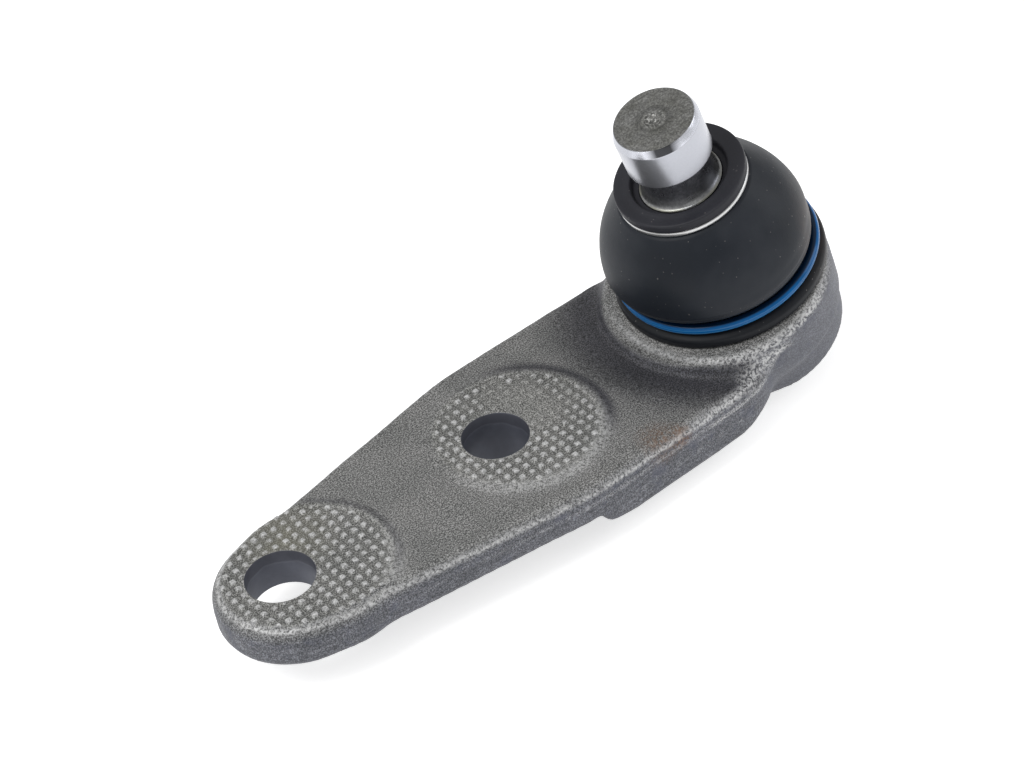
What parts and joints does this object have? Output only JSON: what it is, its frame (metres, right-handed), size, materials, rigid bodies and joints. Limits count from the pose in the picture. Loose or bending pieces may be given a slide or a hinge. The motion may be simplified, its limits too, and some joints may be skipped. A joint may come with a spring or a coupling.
{
  "type": "suspension ball joint",
  "caption": "Forged plate arm with two bolt holes and coined grip pads, and a booted ball pin with a pinch bolt waist that swings and turns in its tilted cup.",
  "frame": {"origin": "midway between the two bolt holes, on the plate's top face", "axes": "+X from the bolt holes to the ball, +Z along the bolt holes towards the boot, +Y across the plate"},
  "size_m": [0.1491, 0.0484, 0.0679],
  "materials": {
    "forged_steel": "shot blasted raw forging, dark speckled grey with bright worn edges",
    "ground_steel": "ground satin steel head, dark phosphated waist and end face",
    "bearing_plastic": "natural moulded bearing plastic",
    "cover_steel": "pressed sheet steel",
    "boot_rubber": "black moulded rubber with a little dust",
    "blue_ring": "smooth deep blue plastic",
    "neck_ring_steel": "pale satin steel"
  },
  "bodies": {
    "arm": {"arm_forging": "forged_steel", "bearing_shell": "bearing_plastic", "closing_plate": "cover_steel", "base_ring": "blue_ring"},
    "boot": {"dust_boot": "boot_rubber"},
    "pin_cradle": {"neck_ring": "neck_ring_steel"},
    "pin": {"ball_pin": "ground_steel"}
  },
  "joints": [
    {"name": "pin_swing_along", "type": "hinge", "parent": "arm", "child": "boot", "pos_m": [0.0853, -0.0011, 0.0057], "axis": [0, 1, 0], "range_deg": [-13.5, 20.5], "deforming": ["dust_boot"]},
    {"name": "pin_swing_across", "type": "hinge", "parent": "boot", "child": "pin_cradle", "pos_m": [0.0853, -0.0011, 0.0057], "axis": [0.9483, 0, 0.3173], "range_deg": [-17, 17], "deforming": ["dust_boot"]},
    {"name": "pin_turn", "type": "hinge", "parent": "pin_cradle", "child": "pin", "pos_m": [0.0853, -0.0011, 0.0057], "axis": [-0.3173, 0, 0.9483], "continuous": true}
  ]
}
